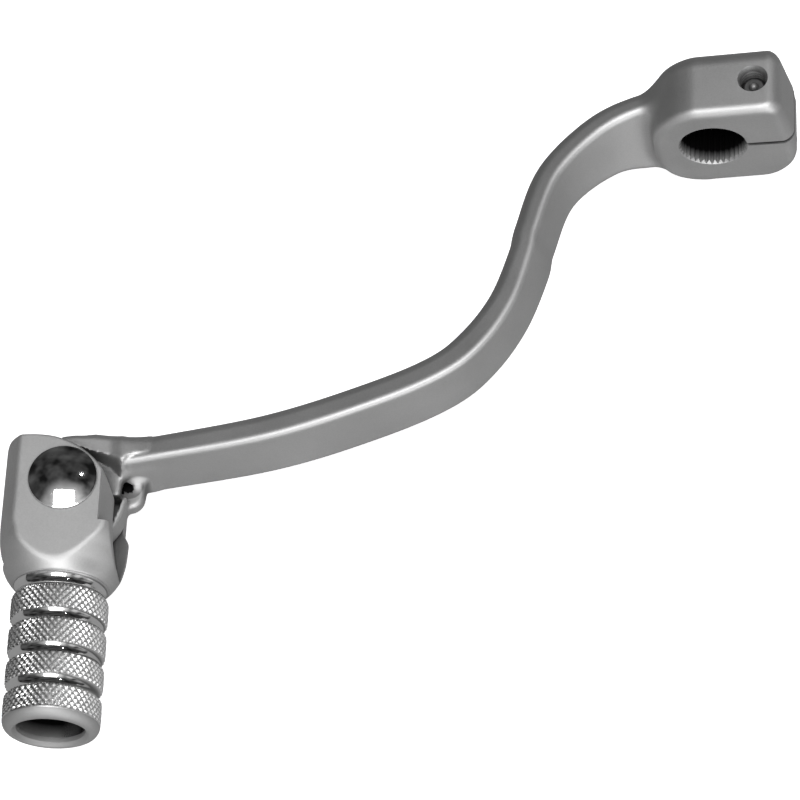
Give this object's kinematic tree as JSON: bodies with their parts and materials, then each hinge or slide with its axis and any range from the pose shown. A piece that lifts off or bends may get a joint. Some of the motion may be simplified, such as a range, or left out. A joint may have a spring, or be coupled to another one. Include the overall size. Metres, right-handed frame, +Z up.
{
  "type": "motorcycle gear shift lever",
  "caption": "Cranked gear shift lever with a slotted, splined clamp boss at one end and a spring-loaded folding knurled toe peg at the other.",
  "frame": {"origin": "on the boss's inboard flat face, 8.2 mm below the axis of the splined bore", "axes": "+X along the lever from the toe peg towards the boss; +Y inboard, along the shift shaft towards the engine; +Z up, along the folding tip's hinge pin"},
  "size_m": [0.1469, 0.1277, 0.0464],
  "materials": {
    "satin_forging": "satin, blasted",
    "satin_tip": "satin blasted, with bright machined knurl and grooves",
    "polished_pin": "mirror polished",
    "bolt_steel": "dark zinc",
    "bush_bronze": "machined bronze",
    "spring_steel": "drawn wire",
    "washer_steel": "zinc plated",
    "clip_steel": "oiled black"
  },
  "bodies": {
    "lever": {"lever_arm": "satin_forging", "pinch_bolt": "bolt_steel", "pivot_bush": "bush_bronze", "return_spring": "spring_steel"},
    "tip": {"folding_tip": "satin_tip", "pivot_pin": "polished_pin", "pin_washer": "washer_steel", "pin_clip": "clip_steel"}
  },
  "joints": [
    {"name": "tip_fold", "type": "hinge", "parent": "lever", "child": "tip", "pos_m": [-0.1187, -0.08225, -0.0118], "axis": [0, 0, 1], "range_deg": [0, 50], "stiffness_Nm_per_rad": 0.25, "springref_deg": -34.38, "deforming": ["return_spring"]}
  ]
}
